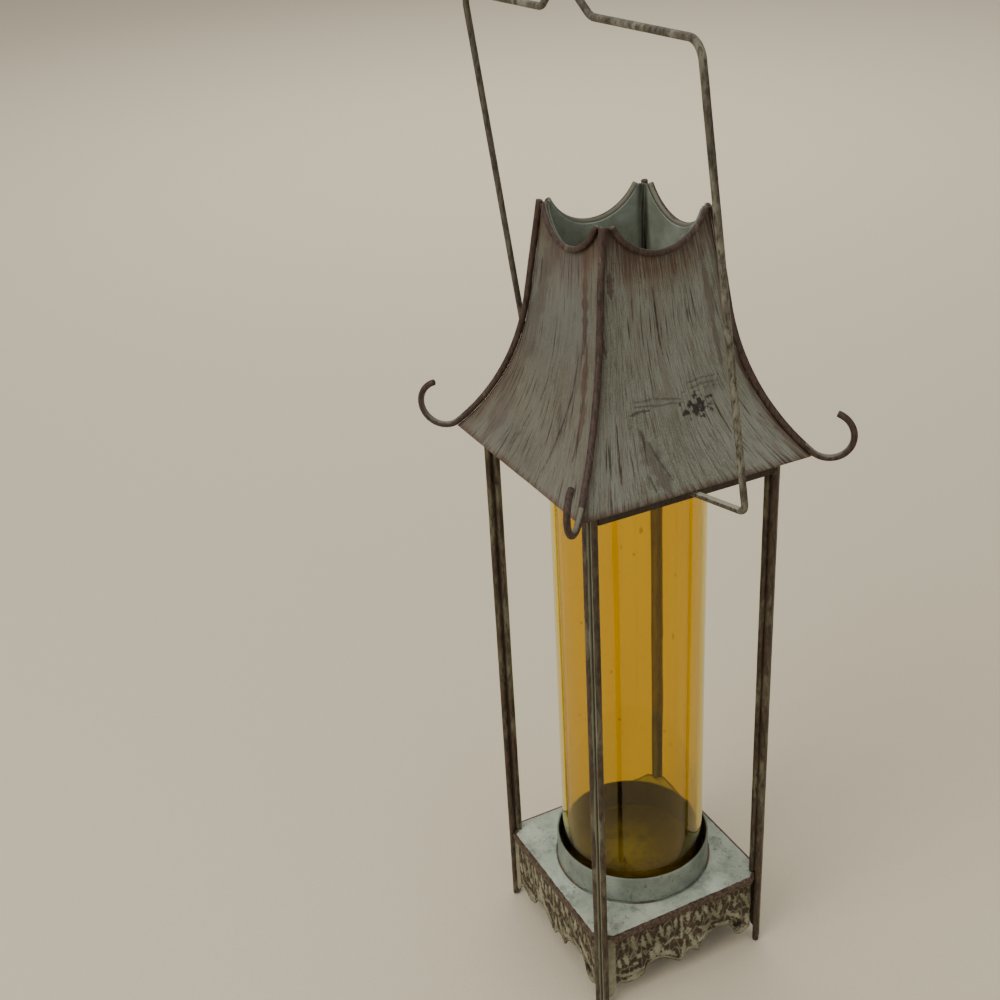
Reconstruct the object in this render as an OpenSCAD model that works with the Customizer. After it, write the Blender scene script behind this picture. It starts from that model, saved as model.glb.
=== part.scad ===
// Pagoda-shaped hanging lantern: four three-rod posts, an amber glass chimney, a flared
// roof with scalloped top and hooked hip rods, scroll aprons and a swinging wire bail.
// Origin: centre of the footprint on the floor. +Z up, -Y front, +X right. Millimetres.

/* [Base] */
// Width of the square base plate
plate_w = 104; // [96:1:112]
// Height of the plate's top face above the floor
plate_top = 47.4; // [40:0.2:55]
// Thickness of the plate's sheet metal
plate_t = 1.2; // [0.8:0.1:1.6]
// Height of the rim folded down around the plate
plate_rim_h = 4.2; // [2.4:0.1:5]
// Outer diameter of the ring that holds the glass
collar_d = 83; // [80:0.5:88]
// Height of that ring
collar_h = 16; // [8:0.5:24]
// Wall of that ring
collar_t = 1.2; // [0.8:0.1:1.6]

/* [Aprons] */
// Thickness of an apron panel, its relief included
apron_t = 2.4; // [1.6:0.1:3]
// Height of the lowest points of the apron's central pendant
apron_tip_z = 8.5; // [6:0.5:12]
// Height of the top of the arches beside the pendant
apron_arch_z = 18.5; // [16:0.5:24]
// Distance of the stamped pattern from the middle of the apron
apron_offset = 4.5; // [0:0.5:6]
// Gap between the right-hand end of an apron and its post
apron_gap = 2; // [0.5:0.1:3]

/* [Posts] */
// Diameter of the post rods
post_rod_d = 3.4; // [2.8:0.1:3.6]
// Distance from the lantern's axis to the midpoint of an outer pair of rods
pair_r = 69.8; // [66:0.1:74]
// Distance between the two outer rods of a post, centre to centre
pair_gap = 3.8; // [3.7:0.1:4.5]
// Distance from the outer pair back to the inner rod
inner_back = 3.6; // [3.3:0.1:4.5]
// Height of the lower edge of the top rails
rail_bottom = 289.5; // [280:0.5:292]
// Height of the flat bar of the top rails
rail_h = 10; // [9:0.5:12]
// Thickness of that bar
rail_t = 2; // [1.6:0.1:2.4]

/* [Roof] */
// Thickness of the roof sheet
roof_t = 0.9; // [0.7:0.1:1.2]
// Distance from the axis to the centre of a hip rod at its top end
hip_top_r = 38.5; // [36:0.5:44]
// Height of the top end of the hip rods
hip_top_z = 412; // [400:1:420]
// Distance from the axis to the hip rod where its hook starts
hip_eave_r = 85; // [80:0.5:88]
// Height of the hip rod where its hook starts
hip_eave_z = 301; // [299:0.5:303]
// Lean of the hip at the top, from the vertical
hip_top_lean = 10; // [8:0.5:12]
// Lean of the hip at the eave, from the vertical
hip_eave_lean = 50; // [46:0.5:54]
// Diameter of the hip rods
hip_rod_d = 3.2; // [2.8:0.1:3.6]
// Radius of the hook at the end of a hip rod, to the rod's centre
hook_r = 11.3; // [8:0.1:13]
// Turn of the hook
hook_turn = 202; // [160:1:230]
// Height of the lowest point of the scalloped top edge
scallop_low_z = 397; // [388:0.5:402]
// Diameter of the wire along the scallops
rim_wire_d = 3; // [2.4:0.1:3.2]

/* [Glass] */
// Outer diameter of the glass chimney
glass_d = 76.2; // [70:0.2:77]
// Wall of the glass
glass_t = 2.2; // [1.5:0.1:3]
// Height of the glass
glass_h = 254; // [240:1:256]

/* [Bail] */
// Diameter of the bail wire
bail_d = 3.2; // [2.8:0.1:3.4]
// Height of the bail's pivot
bail_pivot_z = 294.2; // [293:0.1:295]
// Distance between the bail's legs, centre to centre
bail_w = 190; // [180:1:200]
// Height of the bail's top bar above the pivot
bail_h = 201; // [190:1:220]
// Slope of the peak in the top bar that the lantern hangs by
peak_slope = 38; // [30:1:45]
// Width of that peak, where it leaves the bar
peak_w = 40; // [34:1:50]
// Slope of the bail's feet, rising outwards
foot_slope = 12; // [6:0.5:14]
// Angle at which the bail stands, towards the front
bail_lean = 7.5; // [-10:0.5:10]

/* [Hidden] */
SIDES = ["right", "back", "left", "front"];
CORNERS = ["back_right", "back_left", "front_left", "front_right"];
ENDS = ["a", "b"];
QUARTERS = [0, 1, 2, 3];

$fn = 48;
TOUCH = 0.02;        // gap left where two curved pieces would only touch
BAND = 0.3;          // length of the bands that join the pieces of a bent wire
PIN_PLAY = 0.08;     // radial play of the bail's feet in their holes
ROOT2 = sqrt(2);

IRON = "#5b5148";
VERDIGRIS = "#93a294";
WEATHERED = "#7c8276";
AMBER = [0.85, 0.55, 0.05, 0.5];

// Plan of a post: the outer pair stands across the diagonal, the inner rod behind it.
frame_x = (pair_r + pair_gap / 2) / ROOT2;
frame_y = (pair_r - pair_gap / 2) / ROOT2;
inner_r = pair_r - inner_back;
clip_r = pair_r - post_rod_d / 2 - TOUCH;

plate_half = plate_w / 2;
rim_half = clip_r * ROOT2 - plate_half;

// Hip line in its upright diagonal plane, [distance from axis, height]: straight at the
// top, then one arc that flares out to the eave.
flare = hip_eave_lean - hip_top_lean;
hip_r = (hip_eave_r - hip_top_r - (hip_top_z - hip_eave_z) * tan(hip_top_lean))
    / (cos(hip_top_lean) - cos(hip_eave_lean)
        - tan(hip_top_lean) * (sin(hip_eave_lean) - sin(hip_top_lean)));
hip_straight = (hip_top_z - hip_eave_z - hip_r * (sin(hip_eave_lean) - sin(hip_top_lean)))
    / cos(hip_top_lean);
flare_centre = [
    hip_eave_r + hip_r * cos(hip_eave_lean),
    hip_eave_z + hip_r * sin(hip_eave_lean)
];

// The roof's ridge lies a rod's radius inside the hip rod.
ridge_r = hip_r + hip_rod_d / 2 + TOUCH;
eave_lap = 2;
top_drop = 0.8;
flare_steps = 24;

function ridge(lean) = flare_centre - ridge_r * [cos(lean), sin(lean)];
function along(lean, length) = length * [sin(lean), -cos(lean)];
// Face profile from the ridge: a point of the diagonal plane seen square to the face.
function face_point(p) = [p[0] / ROOT2, p[1]];
function inward(lean) = let (n = [-cos(lean), -sin(lean) / ROOT2]) roof_t * n / norm(n);
// Height of the roof's outer surface where it is this far from the axis, in the flare
function roof_z(half) = flare_centre[1] - sqrt(pow(ridge_r, 2) - pow(flare_centre[0] - half * ROOT2, 2));
// Height at which an upright whose outer side is this far out meets the roof from below
function under_roof(half) = roof_z(half + roof_t / 0.82) - TOUCH;

ridge_top = ridge(hip_top_lean)
    - along(hip_top_lean, (hip_top_z - top_drop - ridge(hip_top_lean)[1]) / cos(hip_top_lean));
flare_leans = [for (i = [0 : flare_steps]) hip_top_lean + flare * i / flare_steps];
outer_profile = concat(
    [face_point(ridge_top)],
    [for (lean = flare_leans) face_point(ridge(lean))],
    [face_point(ridge(hip_eave_lean) + along(hip_eave_lean, eave_lap))]
);
profile_leans = concat([hip_top_lean], flare_leans, [hip_eave_lean]);
inner_profile = [for (i = [len(outer_profile) - 1 : -1 : 0]) outer_profile[i] + inward(profile_leans[i])];

// Scallop: a circle in the plane of the upper, flat part of a face.
face_lean = atan(tan(hip_top_lean) / ROOT2);
scallop_half = outer_profile[0][0] - 3.2;
scallop_depth = (outer_profile[0][1] - scallop_low_z) / cos(face_lean);
scallop_r = (pow(scallop_half, 2) + pow(scallop_depth, 2)) / (2 * scallop_depth);
scallop_rise = scallop_r - scallop_depth;
scallop_end = acos(scallop_rise / scallop_r);

// Lower edge of an apron: end scrolls, an arch each side and a pendant with two points.
apron_foot_z = 5;
apron_top = plate_top - plate_t;
arch_y = 20;
arch_r = 12;
notch_r = 5;
notch_top_z = 14.5;
end_arch_y = 44;
end_arch_r = 4.5;
end_arch_z = 7;
apron_reach = frame_y - post_rod_d / 2 - 0.2;

// Bail, in its own plane: across, and up from the pivot.
corner_r = 7;
peak_bend_r = 8;
peak_r = 6;
foot_bend_r = 5;
pin_bend_r = 5;
pin_tip = frame_x - rail_t / 2 - 2.5;
pin_run = rail_t + 5;
peak_half = peak_w / 2;
peak_run = peak_half / cos(peak_slope) - peak_bend_r * tan(peak_slope / 2) - peak_r * tan(peak_slope);
bar_run = bail_w / 2 - corner_r - peak_half - peak_bend_r * tan(peak_slope / 2);
foot_turn = 90 - foot_slope;
// The foot rises from the end of the pin to the bend below the leg.
foot_across = bail_w / 2 - foot_bend_r * (1 - cos(foot_turn))
    - pin_tip - pin_run - pin_bend_r * sin(foot_slope);
foot_run = foot_across / cos(foot_slope);
foot_rise = pin_bend_r * (1 - cos(foot_slope)) + foot_run * sin(foot_slope)
    + foot_bend_r * sin(foot_turn);
leg_run = bail_h - corner_r - foot_rise;
// From the tip of the left pin, over the peak, to the tip of the right one
bail_steps = [
    [pin_run, -foot_slope, pin_bend_r],
    [foot_run, -foot_turn, foot_bend_r],
    [leg_run, -90, corner_r],
    [bar_run, peak_slope, peak_bend_r],
    [peak_run, -2 * peak_slope, peak_r],
    [peak_run, peak_slope, peak_bend_r],
    [bar_run, -90, corner_r],
    [leg_run, -foot_turn, foot_bend_r],
    [foot_run, -foot_slope, pin_bend_r],
    [pin_run, 0, 0]
];

// An arc of round wire in the XY plane. It starts at the origin along +X and turns left.
module bend(d, r, turn) {
    translate([0, r, 0])
        rotate([0, 0, -90])
            rotate_extrude(angle = turn)
                translate([r, 0])
                    circle(d = d);
}

// A hair-thin band over the joint between two pieces of wire, so that they overlap.
module band(d) {
    translate([-BAND / 2, 0, 0])
        rotate([0, 90, 0])
            cylinder(d = d + BAND / 10, h = BAND);
}

// A run of round wire in the XY plane, from the origin along +X. Each step is
// [straight length, turn to the left, radius of the turn].
module wire_run(d, steps, i = 0) {
    if (i < len(steps)) {
        length = steps[i][0];
        turn = steps[i][1];
        r = steps[i][2];
        if (i > 0) band(d);
        if (length > 0) rotate([0, 90, 0]) cylinder(d = d, h = length);
        translate([length, 0, 0]) {
            if (length > 0 && turn != 0) band(d);
            if (turn > 0) bend(d, r, turn);
            if (turn < 0) mirror([0, 1, 0]) bend(d, r, -turn);
            translate([r * sin(abs(turn)), sign(turn) * r * (1 - cos(turn)), 0])
                rotate([0, 0, turn]) wire_run(d, steps, i + 1);
        }
    }
}

// Stands a drawing made in the XY plane upright in the XZ plane.
module upright() {
    rotate([90, 0, 0]) children();
}

module base_plate() {
    color(VERDIGRIS) {
        translate([0, 0, plate_top - plate_t])
            linear_extrude(plate_t)
                intersection() {
                    square(plate_w, center = true);
                    rotate(45) square(2 * clip_r, center = true);
                }
        for (q = QUARTERS)
            rotate(90 * q)
                translate([plate_half - plate_t, -rim_half, plate_top - plate_rim_h])
                    cube([plate_t, 2 * rim_half, plate_rim_h - plate_t]);
    }
}

module glass_collar() {
    color(VERDIGRIS)
        translate([0, 0, plate_top])
            difference() {
                cylinder(d = collar_d, h = collar_h);
                translate([0, 0, -1])
                    cylinder(d = collar_d - 2 * collar_t, h = collar_h + 2);
            }
}

module glass_chimney() {
    color(AMBER)
        translate([0, 0, plate_top])
            difference() {
                cylinder(d = glass_d, h = glass_h);
                translate([0, 0, -1])
                    cylinder(d = glass_d - 2 * glass_t, h = glass_h + 2);
            }
}

module apron_outline() {
    difference() {
        translate([-apron_reach, apron_foot_z])
            square([2 * apron_reach - apron_gap, apron_top - apron_foot_z]);
        translate([apron_offset, 0]) {
            for (s = [-1, 1]) {
                translate([s * arch_y, apron_arch_z - arch_r]) circle(r = arch_r);
                translate([s * end_arch_y, end_arch_z]) circle(r = end_arch_r);
            }
            translate([0, notch_top_z - notch_r]) circle(r = notch_r);
            translate([-end_arch_y, 0])
                square([2 * end_arch_y, apron_tip_z]);
        }
    }
}

module apron() {
    color(WEATHERED)
        translate([plate_half - plate_t - apron_t - TOUCH, 0, 0])
            rotate([90, 0, 90])
                linear_extrude(apron_t) apron_outline();
}

module post_rod(end) {
    color(IRON)
        translate([frame_x, end * frame_y, 0])
            cylinder(d = post_rod_d, h = under_roof(frame_x + post_rod_d / 2));
}

module inner_rod() {
    reach = inner_r / ROOT2;
    color(WEATHERED)
        translate([reach, reach, plate_top])
            cylinder(d = post_rod_d, h = under_roof(reach + post_rod_d / 2) - plate_top);
}

module plain_rail() {
    half = frame_y - post_rod_d / 2 - TOUCH;
    translate([frame_x - rail_t / 2, -half, rail_bottom])
        cube([rail_t, 2 * half, rail_h]);
}

module top_rail(drilled) {
    color(IRON)
        if (drilled)
            difference() {
                plain_rail();
                translate([frame_x - rail_t, 0, bail_pivot_z])
                    rotate([0, 90, 0])
                        cylinder(d = bail_d + 2 * PIN_PLAY, h = 2 * rail_t);
            }
        else plain_rail();
}

// Frame of the flat upper part of a face: +X out of the face, +Z up along it.
module on_upper_face() {
    translate([outer_profile[0][0], 0, outer_profile[0][1]])
        rotate([0, -face_lean, 0])
            children();
}

module roof_panel() {
    reach = 2 * hip_eave_r;
    color(WEATHERED)
        difference() {
            intersection() {
                translate([0, reach, 0])
                    rotate([90, 0, 0])
                        linear_extrude(2 * reach) polygon(concat(outer_profile, inner_profile));
                linear_extrude(hip_top_z + 10)
                    polygon([[0, 0], [reach, -reach], [reach, reach]]);
            }
            on_upper_face()
                translate([-10, 0, scallop_rise])
                    rotate([0, 90, 0]) cylinder(r = scallop_r, h = 20, $fn = 96);
        }
}

module rim_wire() {
    color(IRON)
        on_upper_face()
            translate([rim_wire_d / 2 + TOUCH, 0, scallop_rise])
                rotate([0, 90, 0])
                    rotate([0, 0, -scallop_end])
                        rotate_extrude(angle = 2 * scallop_end, $fn = 96)
                            translate([scallop_r, 0])
                                circle(d = rim_wire_d, $fn = 32);
}

module hip_rod() {
    color(IRON)
        rotate(45)
            upright()
                translate([hip_top_r, hip_top_z])
                    rotate([0, 0, hip_top_lean - 90])
                        wire_run(hip_rod_d, [[hip_straight, flare, hip_r], [0, hook_turn, hook_r]]);
}

module bail() {
    color(IRON)
        translate([0, 0, bail_pivot_z])
            rotate([bail_lean, 0, 0])
                upright()
                    translate([-pin_tip, 0])
                        rotate([0, 0, 180])
                            wire_run(bail_d, bail_steps);
}

base_plate();
glass_collar();
glass_chimney();
bail();
for (q = QUARTERS)
    rotate(90 * q) {
        apron();
        post_rod(-1);
        post_rod(1);
        inner_rod();
        top_rail(q % 2 == 0);
        roof_panel();
        hip_rod();
        rim_wire();
    }
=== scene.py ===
"""Hanging lantern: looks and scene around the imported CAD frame.

Lengths in the object's constants are millimetres, as in part.scad; the camera, the lamps, the
floor and the meshes are in metres.
"""

import math

import bmesh
import bpy
import numpy as np
from mathutils import Matrix, Vector, noise


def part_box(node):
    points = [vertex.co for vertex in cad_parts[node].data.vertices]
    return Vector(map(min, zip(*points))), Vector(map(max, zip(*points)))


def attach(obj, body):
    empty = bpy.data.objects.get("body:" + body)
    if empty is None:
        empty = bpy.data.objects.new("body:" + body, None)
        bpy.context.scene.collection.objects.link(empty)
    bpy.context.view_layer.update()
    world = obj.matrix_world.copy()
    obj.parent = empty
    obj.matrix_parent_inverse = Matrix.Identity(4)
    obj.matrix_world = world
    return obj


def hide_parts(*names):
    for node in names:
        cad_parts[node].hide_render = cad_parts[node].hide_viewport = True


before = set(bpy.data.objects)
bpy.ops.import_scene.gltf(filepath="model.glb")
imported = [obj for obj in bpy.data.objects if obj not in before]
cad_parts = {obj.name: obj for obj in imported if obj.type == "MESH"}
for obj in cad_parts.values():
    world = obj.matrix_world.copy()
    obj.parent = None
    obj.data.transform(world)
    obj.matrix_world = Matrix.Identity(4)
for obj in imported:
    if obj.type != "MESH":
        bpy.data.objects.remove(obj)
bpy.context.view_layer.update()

MM = 0.001
SIDES = ("right", "back", "left", "front")
CORNERS = ("back_right", "back_left", "front_left", "front_right")
SQRT2 = math.sqrt(2)


# ---------------------------------------------------------------- camera and stage

# Turn from the front to the right, height above level, tilt, distance to the point aimed at,
# where that point is, and the lens
AZIMUTH = math.radians(64.92)
ELEVATION = math.radians(27.40)
ROLL = math.radians(-3.52)
DISTANCE = 0.65219
AIM_ACROSS = -0.06171
AIM_HEIGHT = 0.27078
LENS = 48.80

back = Vector(
    (
        math.sin(AZIMUTH) * math.cos(ELEVATION),
        -math.cos(AZIMUTH) * math.cos(ELEVATION),
        math.sin(ELEVATION),
    )
)
level = Vector((math.cos(AZIMUTH), math.sin(AZIMUTH), 0))
upright = level.cross(-back)
right = level * math.cos(ROLL) + upright * math.sin(ROLL)
up = upright * math.cos(ROLL) - level * math.sin(ROLL)
camera = bpy.data.objects.new("camera", bpy.data.cameras.new("camera"))
camera.data.lens = LENS
camera.data.sensor_width = 36
camera.data.clip_start = 0.01
camera.matrix_world = Matrix.Translation(
    level * AIM_ACROSS + Vector((0, 0, AIM_HEIGHT)) + back * DISTANCE
) @ Matrix((right, up, back)).transposed().to_4x4()
bpy.context.scene.collection.objects.link(camera)
bpy.context.scene.camera = camera


def lamp(name, place, target, size, power, colour):
    """A square area light that faces its target."""
    data = bpy.data.lights.new(name, "AREA")
    data.size = size
    data.energy = power
    data.color = colour
    light = bpy.data.objects.new(name, data)
    light.location = place
    light.rotation_mode = "QUATERNION"
    light.rotation_quaternion = (Vector(target) - Vector(place)).to_track_quat("-Z", "Y")
    bpy.context.scene.collection.objects.link(light)


MIDDLE = (0, 0, 0.25)
lamp("key", (0.30, -1.20, 1.20), MIDDLE, 1.0, 15, (1.0, 0.96, 0.89))
lamp("fill", (1.70, 0.40, 1.00), MIDDLE, 1.6, 4.5, (0.97, 0.98, 1.0))
lamp("backdrop", (-1.90, 0.90, 1.70), (-2.40, 1.10, 0), 2.0, 34, (1.0, 0.97, 0.92))
lamp("top", (-0.10, -0.10, 2.00), MIDDLE, 1.4, 7, (1.0, 0.97, 0.92))

world = bpy.data.worlds.new("studio")
world.use_nodes = True
sky = world.node_tree.nodes["Background"]
sky.inputs["Color"].default_value = (0.84, 0.81, 0.75, 1)
sky.inputs["Strength"].default_value = 0.66
bpy.context.scene.world = world


# ---------------------------------------------------------------- material kit

class Graph:
    """Builds one node material around a Principled shader."""

    def __init__(self, name, **settings):
        self.material = bpy.data.materials.new(name)
        self.material.use_nodes = True
        self.tree = self.material.node_tree
        self.shader = self.tree.nodes["Principled BSDF"]
        for key, value in settings.items():
            self.shader.inputs[key.replace("_", " ")].default_value = value
        self.object_coordinates = self.add("TexCoord").outputs["Object"]

    def add(self, kind, **attributes):
        """A new shader node of a kind, with its settings."""
        node = self.tree.nodes.new("ShaderNode" + kind)
        for key, value in attributes.items():
            setattr(node, key, value)
        return node

    def feed(self, socket, value):
        """Links a socket to another one, or sets it to a plain value."""
        if isinstance(value, bpy.types.NodeSocket):
            self.tree.links.new(value, socket)
        else:
            socket.default_value = value

    def attribute(self, name):
        """A number painted on the vertices."""
        return self.add("Attribute", attribute_name=name).outputs["Fac"]

    def uv(self):
        return self.add("UVMap").outputs["UV"]

    def stretch(self, vector, scale):
        """Coordinates multiplied axis by axis."""
        node = self.add("Mapping")
        self.feed(node.inputs["Vector"], vector)
        node.inputs["Scale"].default_value = scale
        return node.outputs["Vector"]

    def noise(self, scale, detail, roughness, vector=None):
        """Cloudy noise between 0 and 1."""
        node = self.add("TexNoise")
        self.feed(node.inputs["Vector"], vector or self.object_coordinates)
        node.inputs["Scale"].default_value = scale
        node.inputs["Detail"].default_value = detail
        node.inputs["Roughness"].default_value = roughness
        return node.outputs["Fac"]

    def cells(self, scale):
        """Distance from the nearest of many scattered points."""
        node = self.add("TexVoronoi")
        self.feed(node.inputs["Vector"], self.object_coordinates)
        node.inputs["Scale"].default_value = scale
        return node.outputs["Distance"]

    def reach(self):
        """Distance from the lantern's axis, in metres."""
        flat = self.stretch(self.object_coordinates, (1, 1, 0))
        node = self.add("VectorMath", operation="LENGTH")
        self.feed(node.inputs[0], flat)
        return node.outputs["Value"]

    def step(self, value, low, high):
        """0 below low, 1 above high, smooth between; low may be the larger."""
        node = self.add("MapRange", interpolation_type="SMOOTHSTEP")
        self.feed(node.inputs["Value"], value)
        flip = low > high
        node.inputs["From Min"].default_value = min(low, high)
        node.inputs["From Max"].default_value = max(low, high)
        node.inputs["To Min"].default_value = 1.0 if flip else 0.0
        node.inputs["To Max"].default_value = 0.0 if flip else 1.0
        return node.outputs["Result"]

    def math(self, operation, a, b=0.0, clamp=False):
        node = self.add("Math", operation=operation, use_clamp=clamp)
        self.feed(node.inputs[0], a)
        self.feed(node.inputs[1], b)
        return node.outputs[0]

    def mix(self, amount, a, b):
        """Colour a where amount is 0, and b where it is 1."""
        node = self.add("Mix", data_type="RGBA")
        self.feed(node.inputs[0], amount)
        self.feed(node.inputs[6], a)
        self.feed(node.inputs[7], b)
        return node.outputs[2]

    def colour(self, value):
        self.feed(self.shader.inputs["Base Color"], value)

    def rough(self, value):
        self.feed(self.shader.inputs["Roughness"], value)

    def bump(self, height, distance, strength=1.0):
        node = self.add("Bump")
        self.feed(node.inputs["Height"], height)
        node.inputs["Distance"].default_value = distance
        node.inputs["Strength"].default_value = strength
        self.feed(self.shader.inputs["Normal"], node.outputs["Normal"])


def rgb(red, green, blue):
    """An sRGB colour, 0 to 255, as the linear one that sockets take."""
    def linear(c):
        c /= 255
        return c / 12.92 if c <= 0.04045 else ((c + 0.055) / 1.055) ** 2.4
    return (linear(red), linear(green), linear(blue), 1.0)


def roof_material():
    """Grey-green patina under fine brown streaks that run down the sheet.

    Painted on each sheet: edge, where brown gathers outside, and on the lining its corners,
    darkened as painted shade; mark, the scratches and burns; stain, the brown bands; inside, the
    lining.
    """
    g = Graph("roof_patina", Specular_IOR_Level=0.3)
    uv = g.uv()
    hair = g.noise(1.0, 4.0, 0.65, g.stretch(uv, (1500, 75, 1)))
    fine = g.noise(1.0, 4.0, 0.6, g.stretch(uv, (760, 36, 1)))
    broad = g.noise(1.0, 3.0, 0.5, g.stretch(uv, (95, 9, 1)))
    cloud = g.noise(24, 4.0, 0.6)
    grain = g.noise(1700, 2.0, 0.6)
    edge = g.attribute("edge")
    mark = g.attribute("mark")
    stain = g.attribute("stain")
    pale = g.mix(g.step(cloud, 0.35, 0.65), rgb(96, 100, 88), rgb(112, 117, 109))
    pale = g.mix(g.step(grain, 0.32, 0.75), pale, rgb(124, 126, 112))
    brown = g.mix(g.step(cloud, 0.4, 0.6), rgb(72, 54, 44), rgb(88, 70, 56))
    thin = g.math("MULTIPLY", g.step(hair, 0.46, 0.64), 0.62)
    wide = g.math("MULTIPLY", g.step(broad, 0.50, 0.72), 0.55)
    soil = g.math("MAXIMUM", thin, wide)
    soil = g.math("ADD", soil, g.math("MULTIPLY", edge, g.step(fine, 0.22, 0.58)), True)
    soil = g.math("MAXIMUM", soil, g.math("MULTIPLY", stain, g.step(fine, 0.12, 0.56)))
    dull = g.mix(g.math("MULTIPLY", stain, 0.9), pale, rgb(74, 73, 70))
    colour = g.mix(soil, dull, brown)
    blue = g.math("MULTIPLY", g.step(g.noise(13, 3.0, 0.5), 0.50, 0.66), 0.4)
    blue = g.math("MULTIPLY", blue, g.math("SUBTRACT", 1, stain, True))
    colour = g.mix(blue, colour, rgb(104, 112, 114))
    sharp = g.noise(1.0, 4.0, 0.7, g.stretch(uv, (2300, 110, 1)))
    patchy = g.math("ADD", g.step(cloud, 0.36, 0.60), g.math("MULTIPLY", stain, 3.0), True)
    colour = g.mix(g.math("MULTIPLY", g.step(sharp, 0.54, 0.62), 0.42), colour, rgb(58, 46, 37))
    dark = g.math("MULTIPLY", g.step(fine, 0.57, 0.66), patchy)
    colour = g.mix(g.math("MULTIPLY", dark, 0.85), colour, rgb(48, 37, 30))
    rusty = g.step(g.noise(330, 3.0, 0.6), 0.64, 0.71)
    rust = g.math("MULTIPLY", rusty, g.math("ADD", edge, 0.15))
    colour = g.mix(g.math("MULTIPLY", rust, 0.8), colour, rgb(92, 54, 32))
    colour = g.mix(mark, colour, rgb(36, 28, 25))
    dusty = g.step(g.noise(60, 5.0, 0.65), 0.35, 0.7)
    lining = g.mix(dusty, rgb(108, 115, 102), rgb(136, 144, 133))
    # Painted shade darkens the lining in streaks where edge marks its corners behind the hips.
    lining = g.mix(g.math("MULTIPLY", edge, g.step(fine, 0.2, 0.6)), lining, rgb(44, 42, 28))
    lining = g.mix(g.step(g.noise(420, 3.0, 0.6), 0.66, 0.74), lining, rgb(62, 58, 42))
    g.colour(g.mix(g.attribute("inside"), colour, lining))
    g.rough(g.math("ADD", 0.52, g.math("MULTIPLY", fine, 0.25)))
    height = g.math("ADD", g.math("MULTIPLY", hair, 0.6), g.math("MULTIPLY", grain, 0.4))
    g.bump(g.math("SUBTRACT", height, g.math("MULTIPLY", mark, 0.6)), 0.0003)
    return g.material


# The collar, and the seam round its foot
COLLAR_D = 83
SEAM_AT = COLLAR_D / 2 + 0.4


def plate_material(name, low, high, seam):
    """Pale mint patina with grey clouds, dark specks and brown where it is worn."""
    g = Graph(name, Specular_IOR_Level=0.3)
    cloud = g.noise(38, 5.0, 0.6)
    colour = g.mix(g.step(cloud, 0.30, 0.70), low, high)
    grey = g.step(g.noise(90, 5.0, 0.7), 0.46, 0.70)
    colour = g.mix(g.math("MULTIPLY", grey, 0.7), colour, rgb(98, 104, 99))
    specks = g.step(g.noise(480, 4.0, 0.7), 0.575, 0.65)
    specks = g.math("MULTIPLY", specks, g.step(g.noise(60, 3.0, 0.6), 0.38, 0.58))
    colour = g.mix(g.math("MULTIPLY", specks, 0.65), colour, rgb(66, 68, 64))
    ragged = g.math("SUBTRACT", g.noise(260, 5.0, 0.7), 0.5)
    worn = g.step(g.math("ADD", g.attribute("wear"), ragged), 0.38, 0.62)
    brown = g.mix(g.step(g.noise(500, 4.0, 0.65), 0.35, 0.65), rgb(52, 39, 30), rgb(92, 75, 61))
    colour = g.mix(worn, colour, brown)
    # Painted shade darkens the plate inside the collar, most near its wall, and the collar's inner
    # wall, where the collar and glass shadow them; rust lies in the seam at the collar's foot.
    reach = g.reach()
    collar_shadow = g.math("MULTIPLY", g.step(reach, 0.0410, 0.0402), g.step(reach, -0.02, 0.036))
    colour = g.mix(g.math("MULTIPLY", collar_shadow, 0.92), colour, rgb(46, 38, 22))
    if seam:
        aside = g.math("ABSOLUTE", g.math("SUBTRACT", reach, SEAM_AT * MM))
        rusty = g.math("ADD", 0.45, g.math("MULTIPLY", g.step(cloud, 0.35, 0.55), 0.5))
        line = g.math("MULTIPLY", g.step(aside, 0.0010, 0.0002), rusty)
        rust = g.mix(g.step(cloud, 0.5, 0.6), rgb(40, 34, 26), rgb(104, 70, 42))
        colour = g.mix(line, colour, rust)
    g.colour(colour)
    g.rough(g.math("ADD", 0.45, g.math("MULTIPLY", g.noise(300, 4.0, 0.6), 0.3)))
    g.bump(g.noise(520, 4.0, 0.6), 0.0002)
    return g.material


def rod_material(name, dark, brown, worn, patina, wear_low, wear_high):
    """Brown wrought wire, worn on its ridges, with patina on its sheltered side."""
    g = Graph(name, Specular_IOR_Level=0.35)
    along = g.stretch(g.object_coordinates, (1, 1, 0.3))
    cloud = g.noise(120, 5.0, 0.62, along)
    fine = g.noise(700, 4.0, 0.65, along)
    pits = g.noise(900, 3.0, 0.6)
    colour = g.mix(g.step(fine, 0.32, 0.62), dark, brown)
    rub = g.math("MULTIPLY", g.step(cloud, wear_low, wear_high), g.step(fine, 0.30, 0.58))
    colour = g.mix(g.math("MULTIPLY", rub, 0.9), colour, worn)
    ragged = g.math("MULTIPLY", g.math("SUBTRACT", cloud, 0.5), 1.2)
    shelter = g.step(g.math("ADD", g.attribute("shelter"), ragged), 0.36, 0.66)
    colour = g.mix(g.math("MULTIPLY", shelter, 0.9), colour, patina)
    colour = g.mix(g.step(pits, 0.66, 0.74), colour, rgb(26, 20, 16))
    g.colour(colour)
    g.rough(g.math("ADD", 0.42, g.math("MULTIPLY", fine, 0.35)))
    g.bump(g.math("ADD", fine, g.math("MULTIPLY", pits, 0.5)), 0.00018)
    return g.material


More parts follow.
